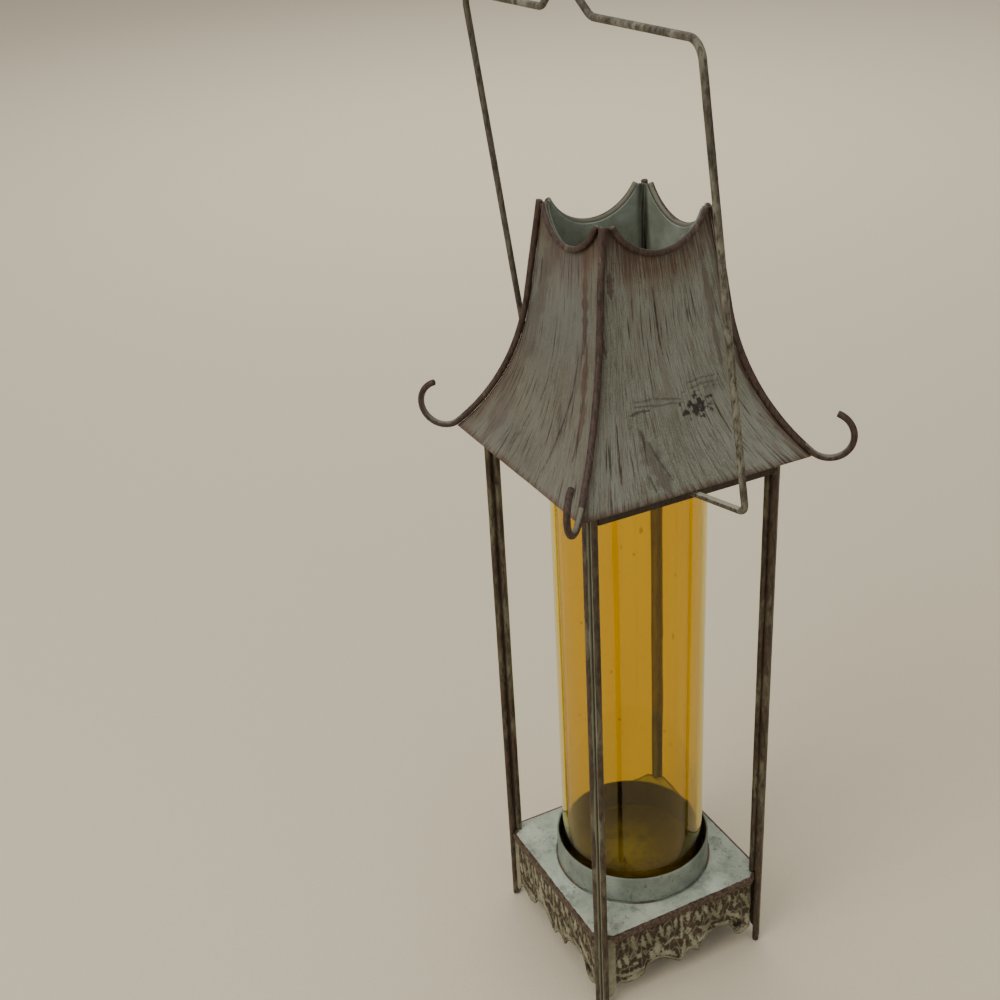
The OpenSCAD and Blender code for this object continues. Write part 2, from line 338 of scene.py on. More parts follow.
def apron_material():
    """Brown in the recesses of the relief, deepened there as painted shade, rubbed grey-green on
    its ridges, and painted near black as shade in the hollow under the scroll.
    """
    g = Graph("stamped_relief", Specular_IOR_Level=0.3)
    cloud = g.noise(90, 5.0, 0.6)
    fine = g.noise(900, 4.0, 0.65)
    # The recesses are brown, deepened towards black as painted shade.
    low = g.mix(g.step(fine, 0.35, 0.65), rgb(38, 28, 19), rgb(72, 56, 41))
    low = g.mix(g.step(cloud, 0.5, 0.7), low, rgb(88, 74, 56))
    high = g.mix(g.step(cloud, 0.35, 0.65), rgb(108, 104, 81), rgb(142, 141, 118))
    ragged = g.math("MULTIPLY", g.math("SUBTRACT", fine, 0.5), 0.45)
    raised = g.step(g.math("ADD", g.attribute("relief"), ragged), 0.15, 0.95)
    colour = g.mix(raised, low, high)
    # Painted shade: below zero, in the hollow under the scroll, the sheet is near black.
    colour = g.mix(g.step(g.attribute("relief"), -0.05, -0.6), colour, rgb(22, 17, 13))
    g.colour(colour)
    g.rough(g.math("ADD", 0.45, g.math("MULTIPLY", fine, 0.3)))
    g.bump(fine, 0.0003)
    return g.material


def glass_material():
    """Clear amber glass with a few brown drips and specks of dirt."""
    g = Graph(
        "amber_glass",
        Transmission_Weight=1.0,
        IOR=1.45,
        Roughness=0.02,
        Specular_IOR_Level=0.06,
    )
    place = g.object_coordinates
    drip = g.step(g.noise(1.0, 4.0, 0.55, g.stretch(place, (240, 240, 75))), 0.725, 0.76)
    speck = g.step(g.cells(95), 0.085, 0.06)
    keep = g.step(g.noise(33, 2.0, 0.5), 0.52, 0.56)
    dirt = g.math("MULTIPLY", g.math("MAXIMUM", drip, g.math("MULTIPLY", speck, keep)), 0.85)
    haze = g.noise(1.0, 4.0, 0.6, g.stretch(place, (60, 60, 9)))
    tint = g.mix(g.step(haze, 0.40, 0.72), (0.84, 0.645, 0.001, 1.0), (0.81, 0.60, 0.001, 1.0))
    g.colour(g.mix(dirt, tint, (0.30, 0.12, 0.01, 1.0)))
    g.bump(g.noise(1.0, 2.0, 0.4, g.stretch(place, (55, 55, 8))), 0.0006, 0.5)
    return g.material


def floor_material():
    """Plain pale cloth-toned floor."""
    g = Graph("floor", Specular_IOR_Level=0.2, Roughness=0.85)
    grain = g.noise(900, 3.0, 0.6)
    g.colour(g.mix(grain, rgb(200, 190, 168), rgb(210, 200, 178)))
    g.bump(grain, 0.0002)
    return g.material


ROOF = roof_material()
VERDIGRIS = plate_material("verdigris", rgb(142, 152, 138), rgb(184, 194, 178), True)
# The collar takes the same patina, a little greyer, and painted darker as shade.
COLLAR = plate_material("grey_shaded_verdigris", rgb(104, 114, 103), rgb(142, 151, 140), False)
ROOF_ROD = rod_material(
    "roof_rod", rgb(34, 25, 21), rgb(68, 51, 43), rgb(100, 88, 76), rgb(102, 102, 88), 0.55, 0.72
)
POST = rod_material(
    "post_rod", rgb(38, 30, 22), rgb(72, 58, 44), rgb(102, 96, 76), rgb(118, 122, 100), 0.48, 0.64
)
RAIL = rod_material(
    "dark_rail", rgb(32, 24, 17), rgb(58, 44, 34), rgb(82, 74, 60), rgb(82, 74, 60), 0.58, 0.74
)
BAIL = rod_material(
    "bail_wire",
    rgb(44, 38, 31),
    rgb(84, 78, 66),
    rgb(118, 117, 102),
    rgb(150, 150, 132),
    0.46,
    0.66,
)
APRON = apron_material()
GLASS = glass_material()


# ---------------------------------------------------------------- mesh kit

def make(name, vertices, faces, material, body, node=None, smooth=True):
    """A mesh piece, in millimetres, that rides on a body and stands for a CAD node."""
    mesh = bpy.data.meshes.new(name)
    mesh.from_pydata((np.asarray(vertices, dtype=float) * MM).tolist(), [], faces)
    mesh.materials.append(material)
    mesh.polygons.foreach_set("use_smooth", [smooth] * len(mesh.polygons))
    mesh.update()
    return hand_over(name, mesh, body, node)


def hand_over(name, mesh, body, node):
    """Adds a mesh as a piece that rides on a body, and stands for a CAD node if one is named."""
    piece = bpy.data.objects.new(name, mesh)
    bpy.context.scene.collection.objects.link(piece)
    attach(piece, body)
    if node:
        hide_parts(node)
    return piece


def paint(piece, name, values):
    """Stores one number per vertex for the material to read."""
    layer = piece.data.attributes.new(name, "FLOAT", "POINT")
    layer.data.foreach_set("value", np.asarray(values, dtype=float).ravel())


def quarter(points, q):
    """Turns points about the lantern's axis by q quarter turns."""
    c, s = ((1, 0), (0, 1), (-1, 0), (0, -1))[q]
    x, y, z = points[..., 0], points[..., 1], points[..., 2]
    return np.stack([c * x - s * y, s * x + c * y, z], -1)


def rough_at(point, seed):
    """Smooth noise between -1 and 1."""
    return noise.noise(Vector(point) + Vector((seed * 7.3, seed * 3.1, seed * 5.7)))


def rough_field(a, b, seed):
    """Smooth noise between -1 and 1 over two arrays of coordinates."""
    flat = [noise.noise(Vector((x, y, seed))) for x, y in zip(a.ravel(), b.ravel())]
    return np.array(flat).reshape(a.shape)


def smoothstep(x, low, high):
    """0 below low, 1 above high and smooth between."""
    t = np.clip((x - low) / (high - low), 0, 1)
    return t * t * (3 - 2 * t)


def sheet_faces(columns, rows):
    """Faces of a sheet whose outer grid of points is followed by its inner grid.

    The grids run across and then down, seen from outside, and are joined at the edges.
    """
    wide = rows + 1
    count = (columns + 1) * wide
    faces = []
    for i in range(columns):
        for a in range(i * wide, i * wide + rows):
            b = a + count
            faces.append((a, a + 1, a + wide + 1, a + wide))
            faces.append((b, b + wide, b + wide + 1, b + 1))
    rim = (
        [i * wide for i in range(columns + 1)]
        + [columns * wide + j for j in range(1, wide)]
        + [i * wide + rows for i in range(columns - 1, -1, -1)]
        + list(range(rows - 1, 0, -1))
    )
    for a, b in zip(rim, rim[1:] + rim[:1]):
        faces.append((a, b, b + count, a + count))
    return faces


def tube_faces(rings, size):
    """Faces of a tube of rings with size points each, capped at both ends."""
    faces = []
    for low in range(0, (rings - 1) * size, size):
        high = low + size
        for k in range(size):
            n = (k + 1) % size
            faces.append((low + k, low + n, high + n, high + k))
    faces.append(tuple(reversed(range(size))))
    faces.append(tuple(range((rings - 1) * size, rings * size)))
    return faces


# ---------------------------------------------------------------- roof sheets

# Gap between soldered pieces
GAP = 0.02

# The roof: sheet, ridges at their top and eave, leans from upright, hooks and scallops
ROOF_T = 0.9
HIP_TOP_R = 38.5
HIP_TOP_Z = 412
HIP_EAVE_R = 85
HIP_EAVE_Z = 301
HIP_ROD_D = 3.2
TOP_LEAN = math.radians(10)
EAVE_LEAN = math.radians(50)
HOOK_R = 11.3
HOOK_TURN = math.radians(202)
SCALLOP_LOW_Z = 397
RIM_WIRE_D = 3
TOP_DROP = 0.8
EAVE_LAP = 2

# The flare of the hips: an arc between two leans, under a straight stretch
HIP_R = (
    HIP_EAVE_R - HIP_TOP_R - (HIP_TOP_Z - HIP_EAVE_Z) * math.tan(TOP_LEAN)
) / (
    math.cos(TOP_LEAN)
    - math.cos(EAVE_LEAN)
    - math.tan(TOP_LEAN) * (math.sin(EAVE_LEAN) - math.sin(TOP_LEAN))
)
FLARE_R = HIP_EAVE_R + HIP_R * math.cos(EAVE_LEAN)
FLARE_Z = HIP_EAVE_Z + HIP_R * math.sin(EAVE_LEAN)
RIDGE_R = HIP_R + HIP_ROD_D / 2 + GAP


def ridge_line():
    """The ridge from the top to the eave: [distance from axis, height, lean]."""
    knee_r = FLARE_R - RIDGE_R * math.cos(TOP_LEAN)
    knee_z = FLARE_Z - RIDGE_R * math.sin(TOP_LEAN)
    run = (HIP_TOP_Z - TOP_DROP - knee_z) / math.cos(TOP_LEAN)
    rows = []
    for f in np.linspace(1, 0, 26)[:-1]:
        rows.append(
            (knee_r - f * run * math.sin(TOP_LEAN), knee_z + f * run * math.cos(TOP_LEAN), TOP_LEAN)
        )
    for lean in np.linspace(TOP_LEAN, EAVE_LEAN, 60):
        rows.append((FLARE_R - RIDGE_R * math.cos(lean), FLARE_Z - RIDGE_R * math.sin(lean), lean))
    rows.append(
        (
            rows[-1][0] + EAVE_LAP * math.sin(EAVE_LEAN),
            rows[-1][1] - EAVE_LAP * math.cos(EAVE_LEAN),
            EAVE_LEAN,
        )
    )
    return np.array(rows)


# Along a sheet's middle line: half width, height, the way into the sheet and the length
# already fallen
RIDGE = ridge_line()
FACE_HALF = RIDGE[:, 0] / SQRT2
FACE_Z = RIDGE[:, 1]
IN_X = -np.cos(RIDGE[:, 2])
IN_Z = -np.sin(RIDGE[:, 2]) / SQRT2
IN_LENGTH = np.hypot(IN_X, IN_Z)
FALL = np.concatenate([[0], np.cumsum(np.hypot(np.diff(FACE_HALF), np.diff(FACE_Z)))])

FACE_LEAN = math.atan(math.tan(TOP_LEAN) / SQRT2)
# Straight edge left between a scallop and the ridge
SCALLOP_END = 3.2
SCALLOP_HALF = FACE_HALF[0] - SCALLOP_END
SCALLOP_DEPTH = (FACE_Z[0] - SCALLOP_LOW_Z) / math.cos(FACE_LEAN)
SCALLOP_R = (SCALLOP_HALF ** 2 + SCALLOP_DEPTH ** 2) / (2 * SCALLOP_DEPTH)
SCALLOP_RISE = SCALLOP_R - SCALLOP_DEPTH


def scallop_start(ratio):
    """How far down the fall the sheet starts, at this share of the half width."""
    def inside(fall):
        across = ratio * np.interp(fall, FALL, FACE_HALF)
        return math.hypot(across, fall + SCALLOP_RISE) < SCALLOP_R

    low, high = 0.0, SCALLOP_DEPTH + 2
    if not inside(0.0):
        return 0.0
    for _ in range(40):
        middle = (low + high) / 2
        low, high = (middle, high) if inside(middle) else (low, middle)
    return high


def stroke(u, v, points, width):
    """A line on a sheet along bent points, 1 on it and 0 beside it, tapered and wavering."""
    mark = np.zeros_like(u)
    steps = len(points) - 1
    for i, ((u0, v0), (u1, v1)) in enumerate(zip(points, points[1:])):
        du, dv = u1 - u0, v1 - v0
        t = np.clip(((u - u0) * du + (v - v0) * dv) / (du * du + dv * dv), 0, 1)
        away = np.hypot(u - u0 - t * du, v - v0 - t * dv)
        place = (i + t) / steps
        taper = np.sin(np.pi * np.clip(place, 0.02, 0.98)) ** 0.5
        waver = 0.8 + 0.4 * np.sin(place * 23 + u0) * np.sin(place * 9.1 + 2 * v0)
        mark = np.maximum(mark, 1 - smoothstep(away / (width * taper * waver), 0.4, 1.2))
    return mark


# Scratches of each sheet, dark, and stains, brown: points across the sheet and down its
# fall, width, strength.
SCRATCHES = {
    "right": (
        ([(-5, 28), (-4, 39), (-3, 50), (-2, 59)], 0.6, 0.85),
        ([(-24, 81.5), (-19, 80.5), (-13, 81)], 0.9, 0.75),
        ([(-20, 76), (-8, 77), (5, 80)], 0.7, 0.5),
        ([(-20, 78), (-8, 80), (4, 81)], 0.6, 0.5),
        ([(5, 74), (14, 72.5), (25, 73)], 0.5, 0.5),
        ([(4, 77), (15, 75), (25, 75.5)], 0.5, 0.5),
        ([(8, 78), (16, 77), (24, 77.5)], 0.4, 0.4),
        ([(-17, 95), (-15, 102), (-11, 113)], 0.8, 0.6),
        ([(-22, 107), (-20, 118)], 0.8, 0.6),
        ([(-21, 86), (-19, 93)], 0.7, 0.5),
        ([(-31, 43), (-30, 55)], 0.9, 0.7),
        ([(15, 95), (17, 103)], 0.6, 0.45),
    ),
    "front": (
        ([(16, 56), (18, 74), (18, 92), (18, 113)], 0.8, 0.8),
        ([(24, 62), (29, 80), (34, 98)], 0.5, 0.5),
        ([(-9, 99), (-13, 112)], 0.6, 0.5),
        ([(-33, 56), (-34, 84)], 0.6, 0.4),
        ([(-4, 74), (-5, 86)], 0.5, 0.6),
        ([(-9, 92), (-11, 102)], 0.7, 0.6),
        ([(-2, 98), (-3, 108)], 0.5, 0.5),
        ([(-19, 103), (-23, 114)], 0.6, 0.5),
        ([(2, 66), (1, 78)], 0.4, 0.5),
    ),
    "back": (
        ([(-10, 40), (-12, 70), (-17, 100)], 0.7, 0.5),
        ([(14, 86), (20, 108), (24, 116)], 0.7, 0.5),
    ),
    "left": (
        ([(6, 44), (9, 76), (15, 104)], 0.7, 0.5),
        ([(-18, 80), (-26, 104), (-29, 114)], 0.7, 0.5),
    ),
}
STAINS = {
    "right": (
        ([(-25, 18), (-25, 30)], 2.2, 0.8),
        ([(20, 16), (24, 40), (27, 70)], 2.5, 0.5),
        ([(-20, 90), (-14, 118)], 6, 0.45),
    ),
    "front": (
        ([(14, 12), (16, 30), (18, 42), (20, 56)], 3.4, 1.0),
        ([(21, 50), (25, 68), (31, 83), (35, 100)], 3.4, 0.9),
        ([(-24, 40), (-33, 80), (-34, 118)], 15, 0.55),
        ([(-14, 14), (-20, 30), (-24, 56)], 9, 0.6),
        ([(18, 40), (18, 80), (18, 112)], 5, 0.45),
    ),
    "back": (([(-16, 16), (-20, 60), (-26, 100)], 3, 0.7),),
    "left": (([(14, 20), (22, 60), (28, 112)], 3, 0.7),),
}


# How brown each sheet is all over
WEATHERED = {"right": 0.0, "back": 0.1, "left": 0.15, "front": 0.3}


def splatter(u, v):
    """A cluster of ragged dark blots where the patina of the right sheet was burnt off."""
    away = np.hypot((u - 11.5) / 7.0, (v - 84) / 4.6)
    near = away < 1.5
    blots = np.full(u.shape, -1.0)
    blots[near] = rough_field(u[near] * 0.36, v[near] * 0.4, 2.0)
    blots[near] += 0.5 * rough_field(u[near] * 1.1, v[near] * 1.1, 6.0)
    return smoothstep(blots + 0.42 - 0.55 * away, 0.0, 0.12) * 0.95


COLUMNS = 170
ROWS = 160
# Streaks are laid out over this half width all the way down, so they fan out with the sheet
GRAIN_HALF = 42


def roof_sheet(q):
    """One flared panel, dented a little, open over its scalloped top edge."""
    side = SIDES[q]
    ratio = np.linspace(-1, 1, COLUMNS + 1)[:, None]
    starts = np.array([scallop_start(r) for r in ratio[:, 0]])[:, None]
    fall = starts + np.linspace(0, 1, ROWS + 1) * (FALL[-1] - starts)
    half = np.interp(fall, FALL, FACE_HALF)
    height = np.interp(fall, FALL, FACE_Z)
    length = np.interp(fall, FALL, IN_LENGTH)
    in_x = np.interp(fall, FALL, IN_X) / length
    in_z = np.interp(fall, FALL, IN_Z) / length
    across = ratio * half
    # Dents fade out towards the hips, where the sheet is held, and hardly bulge outwards.
    dent = 0.9 * rough_field(across * 0.035, fall * 0.028, q * 9.7)
    dent += 0.25 * rough_field(across * 0.12, fall * 0.05, q * 9.7 + 3)
    dent = np.maximum(dent, -0.05) * (1 - ratio ** 4) * smoothstep(fall, 6, 30)
    outer = np.stack([half + in_x * dent, across, height + in_z * dent], -1)
    inner_half = half + in_x * ROOF_T
    inner = np.stack(
        [inner_half + in_x * dent, ratio * inner_half, height + in_z * (ROOF_T + dent)], -1
    )
    points = quarter(np.stack([outer, inner]), q).reshape(-1, 3)
    faces = sheet_faces(COLUMNS, ROWS)
    node = "roof_panel_" + side
    piece = make("roof_sheet_" + side, points, faces, ROOF, "frame", node)
    mesh = piece.data
    grain = np.stack([ratio * GRAIN_HALF - 0.1 * fall, fall], -1).reshape(-1, 2)
    grain = np.concatenate([grain, grain]) * MM + (q * 0.31, q * 0.17)
    layer = mesh.uv_layers.new(name="UVMap")
    loops = np.empty(len(mesh.loops), dtype=np.int32)
    mesh.loops.foreach_get("vertex_index", loops)
    layer.data.foreach_set("uv", grain[loops].ravel())
    # Brown gathers along the hips, under the scallops and at the eave.
    hip = smoothstep(np.abs(ratio) + 0 * fall, 0.88, 1.0)
    crown = 1 - smoothstep(fall - starts, 1, 24)
    eave = smoothstep(fall, FALL[-1] - 4, FALL[-1])
    edge = np.clip(0.8 * hip + 0.9 * crown + 0.8 * eave, 0, 1)
    # The lining is darkened in its corners behind the hips, painted shade broken into streaks.
    corner = smoothstep(np.abs(ratio) + 0 * fall, 0.80, 0.97)
    mark = np.zeros_like(fall)
    for line, width, strength in SCRATCHES[side]:
        mark = np.maximum(mark, strength * stroke(across, fall, line, width))
    if side == "right":
        mark = np.maximum(mark, splatter(across, fall))
    stain = np.full_like(fall, WEATHERED[side])
    for line, width, strength in STAINS[side]:
        stain = np.maximum(stain, strength * stroke(across, fall, line, width))
    none = np.zeros_like(fall)
    paint(piece, "edge", (edge, corner))
    paint(piece, "mark", (mark, none))
    paint(piece, "stain", (stain, none))
    paint(piece, "inside", (none, none + 1))


for q in range(4):
    roof_sheet(q)


# ---------------------------------------------------------------- rods and wires

def arc(centre, radius, start, turn, steps):
    """Points of an arc in a plane, from the angle start through turn, in radians."""
    angles = np.linspace(start, start + turn, steps + 1)
    return [(centre[0] + radius * math.cos(a), centre[1] + radius * math.sin(a)) for a in angles]


def evened(path, spacing):
    """The same line with points at an even spacing."""
    path = np.array(path, dtype=float)
    length = np.concatenate([[0], np.cumsum(np.linalg.norm(np.diff(path, axis=0), axis=1))])
    steps = max(2, int(round(length[-1] / spacing)))
    at = np.linspace(0, length[-1], steps + 1)
    return np.stack([np.interp(at, length, path[:, k]) for k in range(3)], -1)


# Points round a wire, rounding of its ends, and how much its thickness varies
WIRE_RING = 20
END_ROUND = 0.35
UNEVEN = 0.028


def wire(node, path, diameter, material, body, seed, sheltered, waver=0.0, step=1.0):
    """A round wire along a path, hand-worked and so uneven, with rounded ends.

    sheltered gives, for a point, the direction in which the wire is out of the weather.
    """
    centre = evened(path, step)
    tangent = np.gradient(centre, axis=0)
    tangent /= np.linalg.norm(tangent, axis=1)[:, None]
    side = np.cross(tangent[0], (0.3, 0.5, 0.81))
    side /= np.linalg.norm(side)
    r = diameter / 2
    angles = np.linspace(0, 2 * math.pi, WIRE_RING, endpoint=False)
    last = len(centre) - 1
    vertices = []
    shelter = []
    for i, (point, along) in enumerate(zip(centre, tangent)):
        side = side - along * side.dot(along)
        side /= np.linalg.norm(side)
        other = np.cross(along, side)
        rings = [(0.0, 0.0)]
        if i == 0:
            rings = [(0.0, 1.0), (0.3, 0.3), (1.0, 0.0)]
        if i == last:
            rings = [(-1.0, 0.0), (-0.3, 0.3), (0.0, 1.0)]
        fade = min(1.0, min(i, last - i) * step / 6)
        toward = sheltered(point)
        for shift, trim in rings:
            spot = point + along * shift * END_ROUND
            sway = waver * fade * np.array([rough_at(spot * 0.02, seed + n) for n in (11, 17, 23)])
            for a in angles:
                out = side * math.cos(a) + other * math.sin(a)
                bump = rough_at(spot * 0.12 + out * 0.9, seed)
                bump += 0.4 * rough_at(spot * 0.33 + out * 1.3, seed + 5)
                reach = (r - trim * END_ROUND) * (1 - UNEVEN + UNEVEN * min(bump, 1.0))
                vertices.append(spot + sway + out * reach)
                shelter.append(max(0.0, out.dot(toward)))
    faces = tube_faces(len(vertices) // WIRE_RING, WIRE_RING)
    piece = make(node + "_wire", vertices, faces, material, body, node)
    paint(piece, "shelter", shelter)


# The posts: distance of the outer pair of rods from the axis, their spacing and size, and
# how far back the inner rod stands
PAIR_R = 69.8
PAIR_GAP = 3.8
POST_D = 3.4
INNER_BACK = 3.6
PLATE_TOP = 47.4
FRAME_X = (PAIR_R + PAIR_GAP / 2) / SQRT2
FRAME_Y = (PAIR_R - PAIR_GAP / 2) / SQRT2
INNER_AT = (PAIR_R - INNER_BACK) / SQRT2


def box_top(node):
    """The height of a CAD node's top."""
    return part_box(node)[1][2] / MM


def beside(place, strength=1.0):
    """Shelter towards an upright line through a place."""
    def toward(point):
        way = np.array([place[0] - point[0], place[1] - point[1], 0])
        return strength * way / (np.linalg.norm(way) + 0.001)
    return toward


# The solder: distance between its rings, its half width outside and its width inside
SOLDER_STEP = 3.0
SOLDER_HALF = 0.55
SOLDER_WIDE = 0.5


def solder(q, top):
    """The seam of solder between the three rods of a post, from foot to roof, dark as painted
    crevice shade.
    """
    heights = np.arange(0.8, top - 1, SOLDER_STEP)
    vertices = []
    for z in heights:
        give = 0.25 * rough_at((0, q * 5, z * 0.15), q)
        mid = (FRAME_X + FRAME_Y) / 2 - SOLDER_HALF / SQRT2
        inner = INNER_AT if z > PLATE_TOP else mid
        bulge = (SOLDER_HALF + give) / SQRT2
        vertices.append((FRAME_X + bulge, FRAME_Y + bulge, z))
        vertices.append((FRAME_Y + bulge, FRAME_X + bulge, z))
        vertices.append((inner, inner + SOLDER_WIDE, z))
        vertices.append((inner + SOLDER_WIDE, inner, z))
    faces = tube_faces(len(heights), 4)
    points = quarter(np.array(vertices), q)
    name = "post_solder_shade_" + CORNERS[q]
    piece = make(name, points, faces, RAIL, "frame", smooth=False)
    # No patina: the seam stays dark, painted shade between the rods.
    paint(piece, "shelter", np.zeros(len(points)))


for q, side in enumerate(SIDES):
    for end, sign in (("a", -1), ("b", 1)):
        node = "post_rod_%s_%s" % (side, end)
        foot = np.array([FRAME_X, sign * FRAME_Y, 0.0])
        corner = quarter(np.array([PAIR_R / SQRT2, sign * PAIR_R / SQRT2, 0.0]), q)
        line = quarter(np.array([foot, foot + (0, 0, box_top(node))]), q)
        wire(node, line, POST_D, POST, "frame", q * 2 + sign, beside(corner), 0.05, 1.5)
    node = "inner_rod_" + CORNERS[q]
    foot = np.array([INNER_AT, INNER_AT, 0.0])
    line = quarter(np.array([foot + (0, 0, PLATE_TOP), foot + (0, 0, box_top(node))]), q)
    wire(node, line, POST_D, POST, "frame", q + 20, beside((0, 0), 0.6), 0.05, 1.5)
    solder(q, box_top(node))


HOOK_CENTRE = (
    HIP_EAVE_R + HOOK_R * math.cos(EAVE_LEAN),
    HIP_EAVE_Z + HOOK_R * math.sin(EAVE_LEAN),
)


def hip_path(q):
    """A hip rod from its top, down the flare and round its hook."""
    plan = [(HIP_TOP_R, HIP_TOP_Z)]
    plan += arc((FLARE_R, FLARE_Z), HIP_R, math.pi + TOP_LEAN, EAVE_LEAN - TOP_LEAN, 60)
    plan += arc(HOOK_CENTRE, HOOK_R, math.pi + EAVE_LEAN, HOOK_TURN, 60)[1:]
    return quarter(np.array([(r / SQRT2, r / SQRT2, z) for r, z in plan]), q)


def in_hook(q):
    """Shelter on the inner side of a hook, and a little towards the sheets above it."""
    reach = HOOK_CENTRE[0] / SQRT2
    centre = quarter(np.array([reach, reach, HOOK_CENTRE[1]]), q)

    def toward(point):
        way = centre - point
        if np.linalg.norm(way) > HOOK_R + 1:
            return np.array([-point[0], -point[1], 0]) / 200
        return 0.75 * way / HOOK_R
    return toward


def rim_path(q):
    """A rim wire along the scalloped top edge of a sheet."""
    end = math.acos(SCALLOP_RISE / SCALLOP_R)
    out = RIM_WIRE_D / 2 + GAP
    points = []
    for a in np.linspace(-end, end, 61):
        w = SCALLOP_RISE - SCALLOP_R * math.cos(a)
        points.append(
            (
                FACE_HALF[0] + out * math.cos(FACE_LEAN) - w * math.sin(FACE_LEAN),
                SCALLOP_R * math.sin(a),
                FACE_Z[0] + w * math.cos(FACE_LEAN) + out * math.sin(FACE_LEAN),
            )
        )
    return quarter(np.array(points), q)


for q in range(4):
    node = "hip_rod_" + CORNERS[q]
    wire(node, hip_path(q), HIP_ROD_D, ROOF_ROD, "frame", q + 40, in_hook(q))
    node = "rim_wire_" + SIDES[q]
    wire(node, rim_path(q), RIM_WIRE_D, ROOF_ROD, "frame", q + 50, beside((0, 0)))


# ---------------------------------------------------------------- bail

# The bail: wire, pivots, half width, height, lean, slopes and bends
BAIL_D = 3.2
PIVOT_Z = 294.2
BAIL_HALF = 95
BAIL_H = 201
BAIL_LEAN = math.radians(7.5)
FOOT_SLOPE = math.radians(12)
PEAK_SLOPE = math.radians(38)
PEAK_HALF = 20
CORNER_R = 7
PEAK_BEND_R = 8
PEAK_R = 6
FOOT_BEND_R = 5
RAIL_T = 2
PIN_TIP = FRAME_X - RAIL_T / 2 - 2.5
PIN_RUN = RAIL_T + 5


def bent(start, heading, steps):
    """A line in a plane through steps of [length, turn to the left, radius of the turn]."""
    place = np.array(start, dtype=float)
    points = [tuple(place)]
    for length, turn, radius in steps:
        place = place + length * np.array([math.cos(heading), math.sin(heading)])
        points.append(tuple(place))
        if turn:
            way = math.copysign(1, turn)
            left = way * np.array([-math.sin(heading), math.cos(heading)])
            start_angle = heading - way * math.pi / 2
            points += arc(place + radius * left, radius, start_angle, turn, 24)[1:]
            place = np.array(points[-1])
            heading += turn
    return points


def bail_path():
    """The bail from one pin, up a leg, over the peak and down to the other pin."""
    foot_turn = math.pi / 2 - FOOT_SLOPE
    foot_run = (
        BAIL_HALF
        - FOOT_BEND_R * (1 - math.cos(foot_turn))
        - PIN_TIP
        - PIN_RUN
        - FOOT_BEND_R * math.sin(FOOT_SLOPE)
    ) / math.cos(FOOT_SLOPE)
    foot_rise = (
        FOOT_BEND_R * (1 - math.cos(FOOT_SLOPE))
        + foot_run * math.sin(FOOT_SLOPE)
        + FOOT_BEND_R * math.sin(foot_turn)
    )
    leg_run = BAIL_H - CORNER_R - foot_rise
    peak_run = (
        PEAK_HALF / math.cos(PEAK_SLOPE)
        - PEAK_BEND_R * math.tan(PEAK_SLOPE / 2)
        - PEAK_R * math.tan(PEAK_SLOPE)
    )
    bar_run = BAIL_HALF - CORNER_R - PEAK_HALF - PEAK_BEND_R * math.tan(PEAK_SLOPE / 2)
    up_to_peak = [
        (PIN_RUN, -FOOT_SLOPE, FOOT_BEND_R),
        (foot_run, -foot_turn, FOOT_BEND_R),
        (leg_run, -math.pi / 2, CORNER_R),
        (bar_run, PEAK_SLOPE, PEAK_BEND_R),
    ]
    half = bent((-PIN_TIP, 0), math.pi, up_to_peak + [(peak_run, -PEAK_SLOPE, PEAK_R)])
    plan = np.array(half + [(-x, z) for x, z in reversed(half[:-1])])
    return np.stack(
        [
            plan[:, 0],
            -plan[:, 1] * math.sin(BAIL_LEAN),
            PIVOT_Z + plan[:, 1] * math.cos(BAIL_LEAN),
        ],
        -1,
    )


def outside_foot(point):
    """The top of the bail's sloping feet keeps its patina."""
    return np.array([0, 0, 1.0 if point[2] < PIVOT_Z + 8 else 0.0])


wire("bail", bail_path(), BAIL_D, BAIL, "bail", 70, outside_foot)


# ---------------------------------------------------------------- top rails

RAIL_BEVEL = 0.35


def rail(node):
    """A flat bar with the CAD node's holes and worn edges."""
    work = bmesh.new()
    work.from_mesh(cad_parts[node].data)
    bmesh.ops.remove_doubles(work, verts=work.verts, dist=1e-6)
    bmesh.ops.dissolve_limit(work, angle_limit=math.radians(1), verts=work.verts, edges=work.edges)
    sharp = [e for e in work.edges if e.is_manifold and e.calc_face_angle() > math.radians(30)]
    bmesh.ops.bevel(
        work, geom=sharp, offset=RAIL_BEVEL * MM, segments=2, profile=0.5, affect="EDGES"
    )
    bmesh.ops.triangulate(work, faces=work.faces)
    mesh = bpy.data.meshes.new(node + "_bar")
    work.to_mesh(mesh)
    work.free()
    mesh.materials.clear()
    mesh.materials.append(RAIL)
    mesh.polygons.foreach_set("material_index", [0] * len(mesh.polygons))
    piece = hand_over(node + "_bar", mesh, "frame", node)
    paint(piece, "shelter", np.zeros(len(mesh.vertices)))


for side in SIDES:
    rail("top_rail_" + side)


# ---------------------------------------------------------------- collar and glass

def wall(outer, inner, low, high, edge, rows):
    """Profile of a turned wall with rounded edges: up outside, down inside."""
    up = [(outer, z) for z in np.linspace(low + edge, high - edge, rows)]
    down = [(inner, z) for z in np.linspace(high - edge, low + edge, rows)]
    top = arc((outer - edge, high - edge), edge, 0, math.pi / 2, 4)[1:]
    top += arc((inner + edge, high - edge), edge, math.pi / 2, math.pi / 2, 4)[:-1]
    foot = arc((inner + edge, low + edge), edge, math.pi, math.pi / 2, 4)[1:]
    foot += arc((outer - edge, low + edge), edge, -math.pi / 2, math.pi / 2, 4)[:-1]
    return np.array(up + top + down + foot)


TURNS = 180


